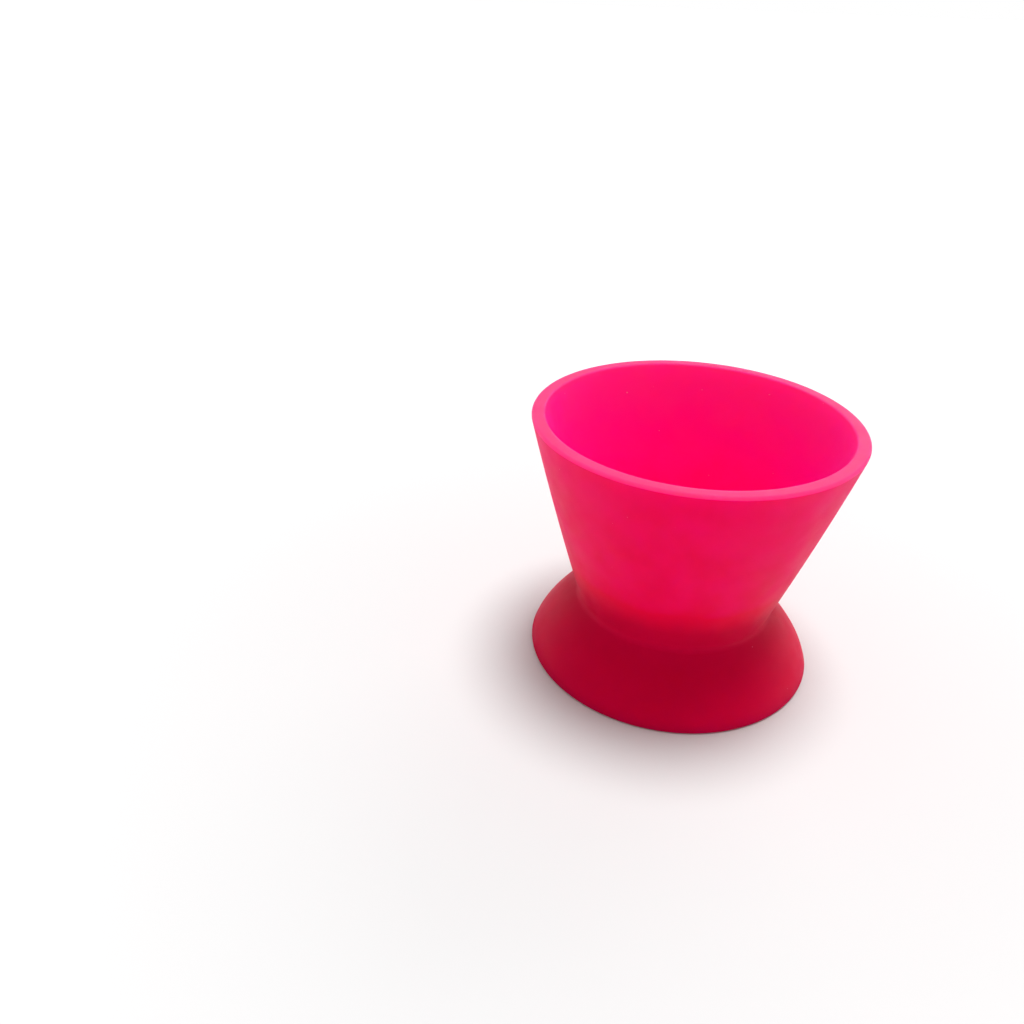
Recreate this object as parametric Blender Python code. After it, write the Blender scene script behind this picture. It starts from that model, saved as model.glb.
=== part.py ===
"""Double-ended silicone cup: a conical bowl above a narrow waist and a hollow flared skirt.

Metres, +Z up. The origin is on the cup's axis, in the plane that it stands on.
The cup is one soft moulding. Each object here is one zone of it, divided where the wall bends.
"""
import math

import bmesh
import bpy

# Outer shape
RIM_R = 0.0300              # mouth, outside
HEIGHT = 0.0500
WAIST_R = 0.0188
WAIST_Z = 0.0122
FOOT_R = 0.0277             # skirt, outside, at the bottom
BELL_POWER = 1.475          # how the skirt's outside curves, upright at the foot
BOWL_BULGE = 0.00032        # how far the bowl's side stands out from a straight cone

# Inner shape
BOWL_WALL = 0.0026          # wall of the bowl, measured level
HOLLOW_R = 0.0252           # skirt, inside, at the bottom
HOLLOW_TOP_R = 0.0171       # where the hollow's wall turns into its domed top
HOLLOW_TOP_Z = 0.0104
HOLLOW_POWER = 1.345
FLOOR_TOP_Z = 0.0155
FLOOR_UNDER_Z = 0.0133
BOWL_FILLET = 0.0090        # between the bowl's floor and its wall

# Edges
RIM_OUTER_EDGE = 0.0009
RIM_INNER_EDGE = 0.0004
FOOT_EDGE = 0.0005

# Where the zones meet
GAP = 0.0003
FOOT_LIP_TOP = 0.0025
SKIRT_TOP = 0.0098
WAIST_TOP = 0.0222
ROOT_TOP = 0.0290
BOWL_TOP = 0.0460
FLOOR_R = 0.0100

# Joints
LEAN_Z = (WAIST_TOP + ROOT_TOP) / 2     # the bowl leans about this height

SEGMENTS = 64
PINK = (0.87, 0.01, 0.12, 1.0)


def bell(z, foot_r, top_r, top_z, power):
    """Radius of a bell-shaped side that is upright at the foot."""
    return foot_r - (foot_r - top_r) * (z / top_z) ** power


def skirt_out(z):
    return bell(z, FOOT_R, WAIST_R, WAIST_Z, BELL_POWER)


def skirt_in(z):
    return bell(z, HOLLOW_R, HOLLOW_TOP_R, HOLLOW_TOP_Z, HOLLOW_POWER)


def bowl_out(z):
    t = (z - WAIST_Z) / (HEIGHT - WAIST_Z)
    return WAIST_R + (RIM_R - WAIST_R) * t + 4 * BOWL_BULGE * t * (1 - t)


def bowl_in(z):
    return bowl_out(z) - BOWL_WALL


def side(radius, z_from, z_to, steps):
    """Points along a side whose radius is a function of height."""
    return [(radius(z), z) for z in (z_from + (z_to - z_from) * i / steps for i in range(steps + 1))]


def arc(centre, radius, start, end, steps):
    """Points along an arc; angles in degrees from +R towards +Z."""
    points = []
    for i in range(steps + 1):
        angle = math.radians(start + (end - start) * i / steps)
        points.append((centre[0] + radius * math.cos(angle), centre[1] + radius * math.sin(angle)))
    return points


def bowl_fillet(steps):
    """The hollow corner inside the bowl, from the floor out and up to the wall."""
    slope = (bowl_in(WAIST_TOP) - bowl_in(FLOOR_TOP_Z)) / (WAIST_TOP - FLOOR_TOP_Z)
    lean = math.atan(slope)
    centre_r = bowl_in(FLOOR_TOP_Z) + BOWL_FILLET * (slope - 1 / math.cos(lean))
    centre = (centre_r, FLOOR_TOP_Z + BOWL_FILLET)
    return arc(centre, BOWL_FILLET, -90, -math.degrees(lean), steps)


def dome(r_from, r_to, steps):
    """The domed top of the hollow skirt between two radii; it is level inside its own arc."""
    step = HOLLOW_TOP_Z * 1e-4
    slope = (skirt_in(HOLLOW_TOP_Z - step) - skirt_in(HOLLOW_TOP_Z)) / step
    angle = math.atan(1 / slope)
    radius = (FLOOR_UNDER_Z - HOLLOW_TOP_Z) / (1 - math.cos(angle))
    level_r = HOLLOW_TOP_R - radius * math.sin(angle)
    points = []
    for i in range(steps + 1):
        r = r_from + (r_to - r_from) * i / steps
        off = max(r - level_r, 0.0)
        points.append((r, FLOOR_UNDER_Z - radius + math.sqrt(radius ** 2 - off ** 2)))
    return points


def silicone(name):
    """Satin silicone that lets light through."""
    material = bpy.data.materials.new("silicone_" + name)
    material.use_nodes = True
    shader = material.node_tree.nodes["Principled BSDF"]
    shader.inputs["Base Color"].default_value = PINK
    shader.inputs["Roughness"].default_value = 0.42
    shader.inputs["Metallic"].default_value = 0.0
    shader.inputs["Subsurface Weight"].default_value = 0.3
    shader.inputs["Subsurface Scale"].default_value = 0.004
    return material


def turned(name, outline, parent, closed=True):
    """Turn an outline of (radius, height) points about the cup's axis.

    A closed outline makes a ring. An open one starts and ends on the axis and makes a solid disc.
    """
    origin_z = parent.matrix_world.translation.z if parent else 0.0
    bm = bmesh.new()
    verts = [bm.verts.new((r, 0.0, z - origin_z)) for r, z in outline]
    pairs = list(zip(verts, verts[1:]))
    if closed:
        pairs.append((verts[-1], verts[0]))
    edges = [bm.edges.new(pair) for pair in pairs]
    bmesh.ops.spin(bm, geom=verts + edges, axis=(0, 0, 1), cent=(0, 0, 0), angle=2 * math.pi,
                   steps=SEGMENTS, use_merge=True)
    bmesh.ops.remove_doubles(bm, verts=bm.verts, dist=1e-7)
    bmesh.ops.recalc_face_normals(bm, faces=bm.faces)
    mesh = bpy.data.meshes.new(name)
    bm.to_mesh(mesh)
    bm.free()
    mesh.shade_smooth()
    mesh.set_sharp_from_angle(angle=math.radians(35))
    mesh.materials.append(silicone(name))
    piece = bpy.data.objects.new(name, mesh)
    bpy.context.collection.objects.link(piece)
    piece.parent = parent
    return piece


def joint_empty(name, z, parent=None):
    """An empty on the cup's axis at a joint; what moves with the joint is parented to it."""
    empty = bpy.data.objects.new(name, None)
    empty.empty_display_size = 0.01
    bpy.context.collection.objects.link(empty)
    empty.parent = parent
    empty.location.z = z - (parent.matrix_world.translation.z if parent else 0.0)
    bpy.context.view_layer.update()
    return empty


def foot_lip():
    outer = arc((FOOT_R - FOOT_EDGE, FOOT_EDGE), FOOT_EDGE, -90, 0, 2)
    inner = arc((HOLLOW_R + FOOT_EDGE, FOOT_EDGE), FOOT_EDGE, 180, 270, 2)
    start = 2 * FOOT_EDGE
    outline = outer + side(skirt_out, start, FOOT_LIP_TOP, 2)
    outline += side(skirt_in, FOOT_LIP_TOP, start, 2) + inner
    turned("foot_lip", outline, None)


def skirt_wall():
    bottom = FOOT_LIP_TOP + GAP
    outline = side(skirt_out, bottom, SKIRT_TOP, 6) + side(skirt_in, SKIRT_TOP, bottom, 6)
    turned("skirt_wall", outline, None)


def waist_ring(parent):
    bottom = SKIRT_TOP + GAP
    hole_r = FLOOR_R + GAP
    outline = side(skirt_out, bottom, WAIST_Z, 2)[:-1] + side(bowl_out, WAIST_Z, WAIST_TOP, 3)
    outline += [(bowl_in(WAIST_TOP), WAIST_TOP)] + bowl_fillet(6)[::-1]
    outline += [(hole_r, FLOOR_TOP_Z)] + dome(hole_r, HOLLOW_TOP_R, 4)
    outline += [(skirt_in(bottom), bottom)]
    turned("waist_ring", outline, parent)


def bowl_floor(parent):
    outline = [(0.0, FLOOR_TOP_Z), (FLOOR_R / 2, FLOOR_TOP_Z), (FLOOR_R, FLOOR_TOP_Z)]
    outline += dome(FLOOR_R, FLOOR_R / 2, 3) + [(0.0, FLOOR_UNDER_Z)]
    turned("bowl_floor", outline, parent, closed=False)


def bowl_band(name, z_from, z_to, steps, parent):
    """A plain band of the bowl's wall, cut level at both ends."""
    outline = side(bowl_out, z_from, z_to, steps) + side(bowl_in, z_to, z_from, steps)
    turned(name, outline, parent)


def rim_lip(parent):
    bottom = BOWL_TOP + GAP
    outer = arc((RIM_R - RIM_OUTER_EDGE, HEIGHT - RIM_OUTER_EDGE), RIM_OUTER_EDGE, 0, 90, 3)
    inner_r = bowl_in(HEIGHT)
    inner = arc((inner_r + RIM_INNER_EDGE, HEIGHT - RIM_INNER_EDGE), RIM_INNER_EDGE, 90, 180, 2)
    outline = side(bowl_out, bottom, HEIGHT - 2 * RIM_OUTER_EDGE, 1) + outer
    outline += inner + side(bowl_in, HEIGHT - 3 * RIM_INNER_EDGE, bottom, 1)
    turned("rim_lip", outline, parent)


def main():
    for item in list(bpy.data.objects):
        bpy.data.objects.remove(item, do_unlink=True)

    waist = joint_empty("skirt_press_axis", WAIST_Z)
    floor = joint_empty("floor_push_axis", FLOOR_TOP_Z, waist)
    bowl = joint_empty("bowl_lean_axis", LEAN_Z, waist)

    foot_lip()
    skirt_wall()
    waist_ring(waist)
    bowl_floor(floor)
    bowl_band("bowl_root", WAIST_TOP + GAP, ROOT_TOP, 2, waist)
    bowl_band("bowl_wall", ROOT_TOP + GAP, BOWL_TOP, 5, bowl)
    rim_lip(bowl)


main()
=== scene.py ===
"""Studio picture of the soft silicone cup: smooth continuous skins over the zones of the CAD model."""
import math

import bmesh
import bpy
from mathutils import Matrix, Vector

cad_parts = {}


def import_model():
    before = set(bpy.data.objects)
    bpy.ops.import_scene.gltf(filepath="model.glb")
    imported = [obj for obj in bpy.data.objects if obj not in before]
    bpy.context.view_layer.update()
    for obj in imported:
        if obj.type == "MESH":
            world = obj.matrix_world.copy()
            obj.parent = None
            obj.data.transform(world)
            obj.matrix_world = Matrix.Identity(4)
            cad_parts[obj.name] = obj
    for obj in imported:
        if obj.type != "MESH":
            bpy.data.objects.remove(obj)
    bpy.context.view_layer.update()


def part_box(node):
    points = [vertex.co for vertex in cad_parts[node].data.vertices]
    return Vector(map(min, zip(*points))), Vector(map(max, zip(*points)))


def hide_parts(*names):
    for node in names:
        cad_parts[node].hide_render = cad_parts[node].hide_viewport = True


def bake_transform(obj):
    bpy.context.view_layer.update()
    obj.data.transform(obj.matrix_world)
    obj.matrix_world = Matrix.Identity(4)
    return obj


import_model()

# Sizes in metres. Those that the CAD nodes' boxes give are read from them.
RIM_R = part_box("rim_lip")[1].x
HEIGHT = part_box("rim_lip")[1].z
FOOT_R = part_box("foot_lip")[1].x
FLOOR_TOP_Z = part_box("bowl_floor")[1].z
FLOOR_UNDER_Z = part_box("bowl_floor")[0].z
WAIST_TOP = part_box("waist_ring")[1].z
WAIST_R = 0.0188
WAIST_Z = 0.0122
BELL_POWER = 1.475
BOWL_BULGE = 0.00032
BOWL_WALL = 0.0026
HOLLOW_R = 0.0252
HOLLOW_TOP_R = 0.0171
HOLLOW_TOP_Z = 0.0104
HOLLOW_POWER = 1.345
BOWL_FILLET = 0.0090
RIM_OUTER_EDGE = 0.0005
RIM_INNER_EDGE = 0.0004
FOOT_EDGE = 0.0005
CREASE_FILLET = 0.0016      # rounds the waist's crease
SEAM = 0.000005             # between the hidden faces of two skins

CORE_R = 0.0163             # the floor's two skins end at this radius
MIDDLE_Z = 0.0144           # and meet inside the floor at this height
FADE = 0.0045               # light below the surface fades out within this distance of a seam
FADED = 0.2                 # and is gone within this share of it

SEGMENTS = 180
SHARP = math.radians(30)    # edges that turn by more than this aren't smoothed

# Levels of painted light and shade at the two ends of each stretch of an outline, on the scale of
# silicone(); they partly also stand for thicker silicone.
# Painted shade on the skirt and in its hollow.
SKIRT_TONES = (1.0, 1.1)
SKIRT_TOP_TONES = (1.1, 1.3)
HOLLOW_TONES = (1.2, 1.0)
# Painted shade at the waist's crease and up the outside of the bowl, deepest a little above the crease and
# lighter towards the rim.
CREASE_TONES = (1.3, 1.3)
WAIST_TONES = (1.35, 1.45)
ROOT_TONES = (1.35, 0.92)
WALL_TONES = (0.88, 0.77)
# Painted sheen: paler on the lip and just inside the rim.
LIP_TONES = (-0.85, -1.0)
LIP_INSIDE_TONES = (-1.0, -0.5)
INSIDE_TONES = (-0.3, 0.0)
# Painted shade lower in the bowl, in its hollow corner, on its floor and under the floor, partly also for
# the thicker silicone there.
INSIDE_LOW_TONES = (0.0, 0.2)
CORNER_TONES = (0.25, 0.6)
FLOOR_TONES = (0.7, 0.6)
DOME_TONES = (0.8, 1.0)
DOME_EDGE_TONES = (1.0, 1.0)
TOP_HIDDEN_TONE = 0.6
UNDER_HIDDEN_TONE = 0.5

# Colours along that scale: a painted sheen on the lip, the pink as lit inside the bowl and bluer for that
# light, painted shade on the skirt and outside of the bowl, and a deeper painted shade of red at the waist.
PAINTED_SHEEN_PINK = (0.98, 0.042, 0.165, 1)
LIT_PINK = (0.98, 0.003, 0.31, 1)
SHADED_PINK = (0.66, 0.0005, 0.042, 1)
SHADED_RED = (0.40, 0.0003, 0.020, 1)
DUST = (0.95, 0.30, 0.45, 1)
CLOUD_SIZE = 0.007
CLOUD_DEPTH = 0.05          # how far the clouds shift the level of painted light and shade, either way
PATCH_SIZE = 0.004
GLOSSY = 0.46               # roughness of the glossier patches
MATT = 0.58                 # and of the others
GRAIN_SIZE = 0.0003
GRAIN_HEIGHT = 0.00002
GRAIN_STRENGTH = 0.25
SPECK_SIZE = 0.0006
SPECK_LEVEL = 0.89          # noise above this is a speck, so a higher level makes fewer
SPECK_EDGE = 0.02
SPECK_STRENGTH = 0.4
SHINE = 0.1                 # specular level
SHINE_TINT = (1, 0.02, 0.3, 1)
GLOW_DEPTH = 0.006          # how far red light travels below the surface
GLOW_SHARES = (1, 0.2, 0.35)    # and red, green and blue light as shares of it


# ---------------------------------------------------------------- outlines

def bell(z, foot_r, top_r, top_z, power):
    return foot_r - (foot_r - top_r) * (z / top_z) ** power


def skirt_out(z):
    return bell(z, FOOT_R, WAIST_R, WAIST_Z, BELL_POWER)


def skirt_in(z):
    return bell(z, HOLLOW_R, HOLLOW_TOP_R, HOLLOW_TOP_Z, HOLLOW_POWER)


def bowl_out(z):
    t = (z - WAIST_Z) / (HEIGHT - WAIST_Z)
    return WAIST_R + (RIM_R - WAIST_R) * t + 4 * BOWL_BULGE * t * (1 - t)


def bowl_in(z):
    return bowl_out(z) - BOWL_WALL


def side(radius, z_from, z_to, steps):
    return [(radius(z), z) for z in (z_from + (z_to - z_from) * i / steps for i in range(steps + 1))]


def arc(centre, radius, start, end, steps):
    points = []
    for i in range(steps + 1):
        angle = math.radians(start + (end - start) * i / steps)
        points.append((centre[0] + radius * math.cos(angle), centre[1] + radius * math.sin(angle)))
    return points


def lip_edge(steps):
    """The lip's outer edge, rounded from the bowl's side to the flat top."""
    step = 1e-5
    lean = math.atan2(bowl_out(HEIGHT) - bowl_out(HEIGHT - step), step)
    reach = RIM_OUTER_EDGE / math.tan((math.pi / 2 - lean) / 2)
    centre = (RIM_R - reach, HEIGHT - RIM_OUTER_EDGE)
    return arc(centre, RIM_OUTER_EDGE, -math.degrees(lean), 90, steps)


def bowl_fillet(split_r, steps):
    """The hollow corner inside the bowl, as the arcs on either side of a radius, from the floor up."""
    slope = (bowl_in(WAIST_TOP) - bowl_in(FLOOR_TOP_Z)) / (WAIST_TOP - FLOOR_TOP_Z)
    lean = math.atan(slope)
    centre_r = bowl_in(FLOOR_TOP_Z) + BOWL_FILLET * (slope - 1 / math.cos(lean))
    centre = (centre_r, FLOOR_TOP_Z + BOWL_FILLET)
    split = -math.degrees(math.acos((split_r - centre_r) / BOWL_FILLET))
    low = arc(centre, BOWL_FILLET, -90, split, steps)
    return low, arc(centre, BOWL_FILLET, split, -math.degrees(lean), steps)


def dome(r_from, r_to, steps):
    """The underside of the floor: level in the middle, then an arc down to the hollow's wall."""
    step = HOLLOW_TOP_Z * 1e-4
    slope = (skirt_in(HOLLOW_TOP_Z - step) - skirt_in(HOLLOW_TOP_Z)) / step
    angle = math.atan(1 / slope)
    radius = (FLOOR_UNDER_Z - HOLLOW_TOP_Z) / (1 - math.cos(angle))
    level_r = HOLLOW_TOP_R - radius * math.sin(angle)
    points = []
    for i in range(steps + 1):
        r = r_from + (r_to - r_from) * i / steps
        off = max(r - level_r, 0.0)
        points.append((r, FLOOR_UNDER_Z - radius + math.sqrt(radius ** 2 - off ** 2)))
    return points


def crease(steps):
    """The rounded crease at the waist, from the skirt round to the bowl, as an arc between tangents."""
    step = 1e-5
    low = math.atan2(step, skirt_out(WAIST_Z) - skirt_out(WAIST_Z - step))
    high = math.atan2(step, bowl_out(WAIST_Z + step) - bowl_out(WAIST_Z))
    half = (low - high) / 2
    middle = (low + high) / 2 - math.pi / 2
    reach = CREASE_FILLET / math.cos(half)
    centre = (WAIST_R + reach * math.cos(middle), WAIST_Z + reach * math.sin(middle))
    mid = math.degrees(middle) + 180
    turn = math.degrees(half)
    return arc(centre, CREASE_FILLET, mid + turn, mid - turn, steps)


def toned(points, start, end):
    """Give points along an outline a level of painted light and shade, which runs evenly from start to end.
    """
    last = max(len(points) - 1, 1)
    return [(r, z, start + (end - start) * i / last) for i, (r, z) in enumerate(points)]


def seams():
    """Where the edges of the skins show, as points on the cup's outline."""
    bend = crease(12)
    on_floor = bowl_fillet(CORE_R, 1)[0][-1]
    return [bend[len(bend) // 2], on_floor, dome(0.0, CORE_R, 1)[-1], (HOLLOW_TOP_R, HOLLOW_TOP_Z)]


def turned(name, outline, closed=True):
    """Turn an outline of points, each a radius, a height and a level of painted light and shade, about the
    cup's axis into one closed skin.
    """
    bm = bmesh.new()
    painted_light_and_thickness = bm.verts.layers.float.new("painted_light_and_thickness")
    soft = bm.verts.layers.float.new("soft")
    edges = seams()
    rings = []
    for r, z, tone in outline:
        gap = min(math.dist((r, z), edge) for edge in edges)
        turn = [2 * math.pi * i / SEGMENTS for i in range(SEGMENTS if r > 1e-9 else 1)]
        ring = [bm.verts.new((r * math.cos(a), r * math.sin(a), z)) for a in turn]
        for vert in ring:
            vert[painted_light_and_thickness] = tone
            vert[soft] = min(gap / FADE, 1.0)
        rings.append(ring)
    pairs = list(zip(rings, rings[1:]))
    if closed:
        pairs.append((rings[-1], rings[0]))
    for a, b in pairs:
        for i in range(SEGMENTS):
            j = (i + 1) % SEGMENTS
            corners = [a[i % len(a)], a[j % len(a)], b[j % len(b)], b[i % len(b)]]
            bm.faces.new(list(dict.fromkeys(corners)))
    bmesh.ops.recalc_face_normals(bm, faces=bm.faces)
    mesh = bpy.data.meshes.new(name)
    bm.to_mesh(mesh)
    bm.free()
    mesh.shade_smooth()
    mesh.set_sharp_from_angle(angle=SHARP)
    piece = bpy.data.objects.new(name, mesh)
    bpy.context.collection.objects.link(piece)
    return piece


# ---------------------------------------------------------------- material

def silicone():
    """Satin pink silicone, faintly cloudy, with a fine grain, glossier patches and specks of dust.

    The attribute of painted light and shade sets the colour, partly also standing for thicker silicone: a
    painted sheen at -1, the lit pink at 0, painted shade at 1 and a deeper painted shade of red at 2.
    The soft attribute sets how much light goes below the surface: none at a seam.
    """
    material = bpy.data.materials.new("hot_pink_silicone")
    material.use_nodes = True
    nt = material.node_tree
    p = nt.nodes["Principled BSDF"]
    place = nt.nodes.new("ShaderNodeTexCoord").outputs["Object"]

    def noise(size, detail):
        node = nt.nodes.new("ShaderNodeTexNoise")
        node.inputs["Scale"].default_value = 1 / size
        node.inputs["Detail"].default_value = detail
        nt.links.new(place, node.inputs["Vector"])
        return node.outputs["Fac"]

    def mapped(value, low, high, to_low, to_high):
        node = nt.nodes.new("ShaderNodeMapRange")
        for name, number in zip(("From Min", "From Max", "To Min", "To Max"), (low, high, to_low, to_high)):
            node.inputs[name].default_value = number
        nt.links.new(value, node.inputs["Value"])
        return node.outputs["Result"]

    def mixed(factor, a, b):
        node = nt.nodes.new("ShaderNodeMix")
        node.data_type = "RGBA"
        nt.links.new(factor, node.inputs[0])
        for value, socket in ((a, node.inputs[6]), (b, node.inputs[7])):
            if isinstance(value, tuple):
                socket.default_value = value
            else:
                nt.links.new(value, socket)
        return node.outputs[2]

    painted_light_and_thickness = nt.nodes.new("ShaderNodeAttribute")
    painted_light_and_thickness.attribute_name = "painted_light_and_thickness"
    clouded = nt.nodes.new("ShaderNodeMath")
    nt.links.new(painted_light_and_thickness.outputs["Fac"], clouded.inputs[0])
    nt.links.new(mapped(noise(CLOUD_SIZE, 2), 0.35, 0.65, -CLOUD_DEPTH, CLOUD_DEPTH), clouded.inputs[1])
    tone = clouded.outputs[0]
    # Painted light and shade: from the painted sheen through the lit pink to the painted shade of pink and
    # of red.
    colour = mixed(mapped(tone, -1, 0, 0, 1), PAINTED_SHEEN_PINK, LIT_PINK)
    colour = mixed(mapped(tone, 0, 1, 0, 1), colour, SHADED_PINK)
    colour = mixed(mapped(tone, 1, 2, 0, 1), colour, SHADED_RED)
    specks = mapped(noise(SPECK_SIZE, 0), SPECK_LEVEL, SPECK_LEVEL + SPECK_EDGE, 0, SPECK_STRENGTH)
    nt.links.new(mixed(specks, colour, DUST), p.inputs["Base Color"])
    nt.links.new(mapped(noise(PATCH_SIZE, 3), 0.3, 0.7, GLOSSY, MATT), p.inputs["Roughness"])

    bump = nt.nodes.new("ShaderNodeBump")
    bump.inputs["Strength"].default_value = GRAIN_STRENGTH
    bump.inputs["Distance"].default_value = GRAIN_HEIGHT
    nt.links.new(noise(GRAIN_SIZE, 4), bump.inputs["Height"])
    nt.links.new(bump.outputs["Normal"], p.inputs["Normal"])

    p.inputs["Specular IOR Level"].default_value = SHINE
    p.inputs["Specular Tint"].default_value = SHINE_TINT
    soft = nt.nodes.new("ShaderNodeAttribute")
    soft.attribute_name = "soft"
    nt.links.new(mapped(soft.outputs["Fac"], FADED, 1, 0, 1), p.inputs["Subsurface Weight"])
    p.inputs["Subsurface Radius"].default_value = GLOW_SHARES
    p.inputs["Subsurface Scale"].default_value = GLOW_DEPTH
    return material


# ---------------------------------------------------------------- skins

def skirt_skin():
    """The skirt from the foot up to the middle of the waist's crease, and its hollow."""
    bend = crease(12)
    half = len(bend) // 2
    wall = side(skirt_out, 2 * FOOT_EDGE, bend[0][1], 24)[:-1]
    low = arc((FOOT_R - FOOT_EDGE, FOOT_EDGE), FOOT_EDGE, -90, -5, 6) + wall[:15]
    top = wall[15:] + bend[:half + 1]
    inner = side(skirt_in, HOLLOW_TOP_Z, 2 * FOOT_EDGE, 20)
    inner += arc((HOLLOW_R + FOOT_EDGE, FOOT_EDGE), FOOT_EDGE, 185, 270, 6)
    outline = toned(low, *SKIRT_TONES) + toned(top, *SKIRT_TOP_TONES) + toned(inner, *HOLLOW_TONES)
    return turned("skirt_skin", outline)


def bowl_skin():
    """The bowl's wall and rim, with the thick ring at the waist around the floor."""
    bend = crease(12)
    half = len(bend) // 2
    edge = [(bend[half][0], bend[half][1] + SEAM)] + bend[half + 1:]
    waist = side(bowl_out, bend[-1][1], WAIST_TOP, 8)[1:]
    wall = side(bowl_out, WAIST_TOP, HEIGHT - 2 * RIM_OUTER_EDGE, 20)[1:]
    lip = lip_edge(8)
    lip_inside = arc((bowl_in(HEIGHT) + RIM_INNER_EDGE, HEIGHT - RIM_INNER_EDGE), RIM_INNER_EDGE, 90, 175, 5)
    corner = bowl_fillet(CORE_R + SEAM, 10)[1][::-1]
    inside = side(bowl_in, HEIGHT - 3 * RIM_INNER_EDGE, corner[0][1], 16)[:-1]
    under = dome(CORE_R + SEAM, HOLLOW_TOP_R - SEAM, 4)
    outline = toned(edge, *CREASE_TONES) + toned(waist[:3], *WAIST_TONES) + toned(waist[3:], *ROOT_TONES)
    outline += toned(wall + lip[:1], *WALL_TONES) + toned(lip[1:], *LIP_TONES)
    outline += toned(lip_inside, *LIP_INSIDE_TONES) + toned(inside[:9], *INSIDE_TONES)
    outline += toned(inside[9:], *INSIDE_LOW_TONES) + toned(corner, *CORNER_TONES)
    return turned("bowl_skin", outline + toned(under, *DOME_EDGE_TONES))


def floor_skin():
    """The top of the bowl's floor, with the start of the hollow corner that runs up into the wall."""
    top = [(0.0, FLOOR_TOP_Z)] + bowl_fillet(CORE_R, 12)[0]
    hidden = [(CORE_R, MIDDLE_Z, TOP_HIDDEN_TONE), (0.0, MIDDLE_Z, TOP_HIDDEN_TONE)]
    return turned("floor_skin", toned(top, *FLOOR_TONES) + hidden, closed=False)


def under_skin():
    """The underside of the floor, domed over the hollow skirt."""
    below = MIDDLE_Z - SEAM
    hidden = [(CORE_R, below, UNDER_HIDDEN_TONE), (0.0, below, UNDER_HIDDEN_TONE)]
    outline = toned(dome(0.0, CORE_R, 24), *DOME_TONES) + hidden
    return turned("floor_underskin", outline, closed=False)


def show(skin, material, nodes):
    """Finish a skin: give it the material and hide the CAD nodes that it replaces."""
    skin.data.materials.append(material)
    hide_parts(*nodes)
    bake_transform(skin)


def build():
    pink = silicone()
    show(skirt_skin(), pink, ["foot_lip", "skirt_wall"])
    show(bowl_skin(), pink, ["bowl_root", "bowl_wall", "rim_lip"])
    show(floor_skin(), pink, ["bowl_floor"])
    show(under_skin(), pink, ["waist_ring"])


# ---------------------------------------------------------------- studio

SKY = 0.38                  # brightness overhead
HORIZON = 1.0               # and at the horizon
SKY_FROM = 0.03             # where the one turns into the other, as the height of a direction
SKY_TO = 0.6
SUN_STRENGTH = 2.9
SUN_ANGLE = math.radians(25)
SUN_TILT = (math.radians(-6), math.radians(4), 0)
FLOOR_HALF = 40             # so wide that its edge is lost in the white horizon
FLOOR_Z = -0.00003          # just under the cup, so that the two never share a plane
FLOOR_NEAR = 0.68           # grey near the cup
FLOOR_FAR = 0.86            # and away from it
NEAR = 0.05
FAR = 0.3
CAMERA_AT = (0.0003, -0.1526, 0.1141)
CAMERA_YAW = math.radians(-12.5)
CAMERA_DOWN = math.radians(29.69)
CAMERA_ROLL = math.radians(2.05)
CAMERA_LENS = 31.56
CLIP = (0.01, 100)


def camera():
    data = bpy.data.cameras.new("camera")
    data.lens = CAMERA_LENS
    data.sensor_width = 36
    data.clip_start, data.clip_end = CLIP
    cam = bpy.data.objects.new("camera", data)
    bpy.context.collection.objects.link(cam)
    aim = Matrix.Rotation(-CAMERA_YAW, 4, "Z") @ Matrix.Rotation(math.pi / 2 - CAMERA_DOWN, 4, "X")
    aim = aim @ Matrix.Rotation(CAMERA_ROLL, 4, "Z")
    cam.matrix_world = Matrix.Translation(CAMERA_AT) @ aim
    bpy.context.scene.camera = cam


def panel(name, at, aim, size, power):
    """A round soft lamp that faces a point."""
    data = bpy.data.lights.new(name, "AREA")
    data.shape = "DISK"
    data.size = size
    data.energy = power
    lamp = bpy.data.objects.new(name, data)
    bpy.context.collection.objects.link(lamp)
    lamp.location = at
    lamp.rotation_mode = "QUATERNION"
    lamp.rotation_quaternion = (Vector(aim) - Vector(at)).to_track_quat("-Z", "Y")


def overhead():
    """A wide soft light from almost straight above."""
    data = bpy.data.lights.new("overhead", "SUN")
    data.energy = SUN_STRENGTH
    data.angle = SUN_ANGLE
    lamp = bpy.data.objects.new("overhead", data)
    bpy.context.collection.objects.link(lamp)
    lamp.rotation_euler = SUN_TILT


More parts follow.
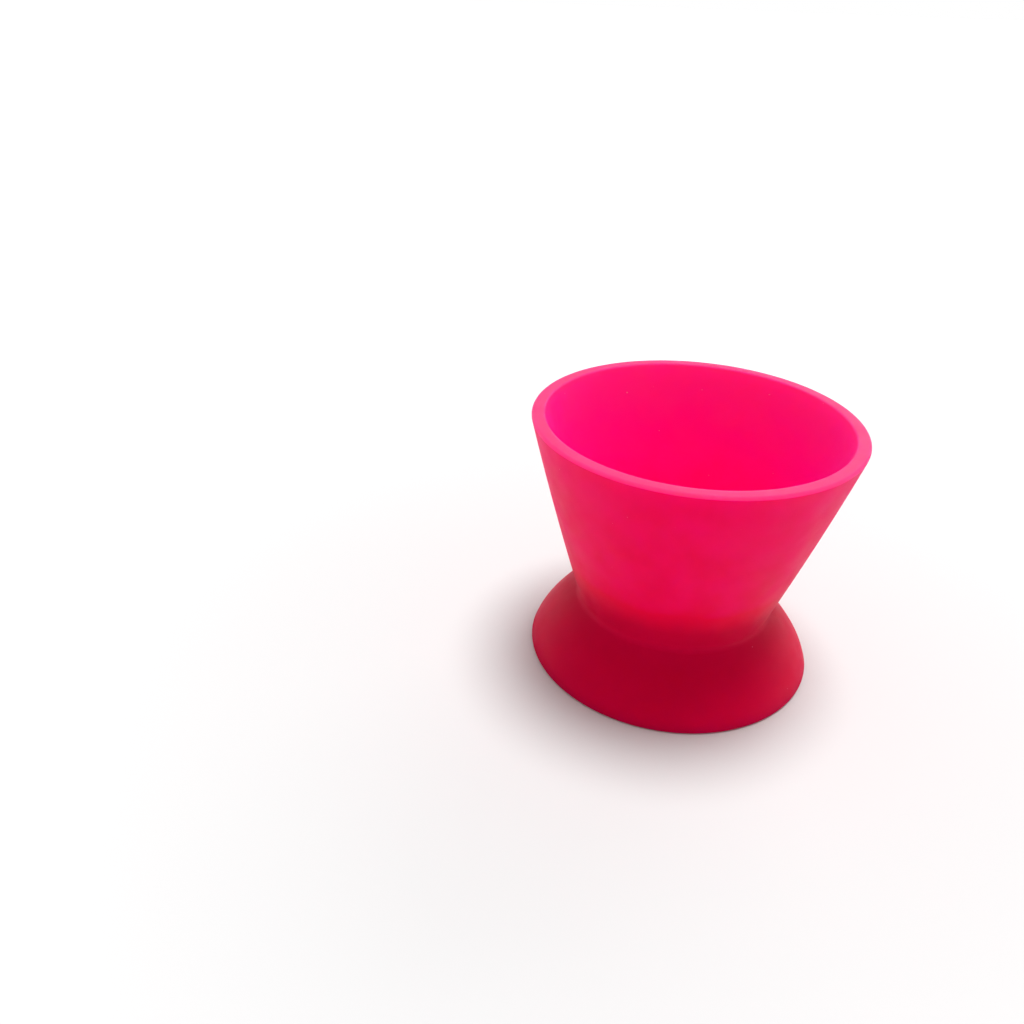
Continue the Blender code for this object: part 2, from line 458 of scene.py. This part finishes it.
def floor_material():
    """A matt grey that turns paler away from the cup."""
    material = bpy.data.materials.new("studio_floor")
    material.use_nodes = True
    nt = material.node_tree
    p = nt.nodes["Principled BSDF"]
    place = nt.nodes.new("ShaderNodeTexCoord")
    away = nt.nodes.new("ShaderNodeVectorMath")
    away.operation = "LENGTH"
    grey = nt.nodes.new("ShaderNodeMapRange")
    grey.interpolation_type = "SMOOTHSTEP"
    grey.inputs["From Min"].default_value = NEAR
    grey.inputs["From Max"].default_value = FAR
    grey.inputs["To Min"].default_value = FLOOR_NEAR
    grey.inputs["To Max"].default_value = FLOOR_FAR
    nt.links.new(place.outputs["Object"], away.inputs[0])
    nt.links.new(away.outputs["Value"], grey.inputs["Value"])
    nt.links.new(grey.outputs["Result"], p.inputs["Base Color"])
    p.inputs["Roughness"].default_value = 0.9
    p.inputs["Specular IOR Level"].default_value = 0.1
    return material


def floor():
    mesh = bpy.data.meshes.new("studio_floor")
    corners = [(x * FLOOR_HALF, y * FLOOR_HALF, FLOOR_Z) for x, y in ((-1, -1), (1, -1), (1, 1), (-1, 1))]
    mesh.from_pydata(corners, [], [(0, 1, 2, 3)])
    mesh.materials.append(floor_material())
    plane = bpy.data.objects.new("studio_floor", mesh)
    bpy.context.collection.objects.link(plane)


def world():
    """A soft sky: grey overhead, and white at the horizon, where the floor ends."""
    sky = bpy.data.worlds.new("studio")
    sky.use_nodes = True
    nt = sky.node_tree
    place = nt.nodes.new("ShaderNodeTexCoord")
    split = nt.nodes.new("ShaderNodeSeparateXYZ")
    height = nt.nodes.new("ShaderNodeMath")
    height.operation = "ABSOLUTE"
    band = nt.nodes.new("ShaderNodeMapRange")
    band.interpolation_type = "SMOOTHSTEP"
    band.inputs["From Min"].default_value = SKY_FROM
    band.inputs["From Max"].default_value = SKY_TO
    band.inputs["To Min"].default_value = HORIZON
    band.inputs["To Max"].default_value = SKY
    nt.links.new(place.outputs["Generated"], split.inputs[0])
    nt.links.new(split.outputs["Z"], height.inputs[0])
    nt.links.new(height.outputs[0], band.inputs["Value"])
    nt.links.new(band.outputs["Result"], nt.nodes["Background"].inputs["Strength"])
    nt.nodes["Background"].inputs["Color"].default_value = (1, 1, 1, 1)
    bpy.context.scene.world = sky


def studio():
    floor()
    world()
    overhead()
    panel("back_panel", at=(0.25, 0.75, 0.5), aim=(0, 0, 0.04), size=0.6, power=1.6)
    bpy.context.scene.view_settings.view_transform = "Standard"


build()
camera()
studio()
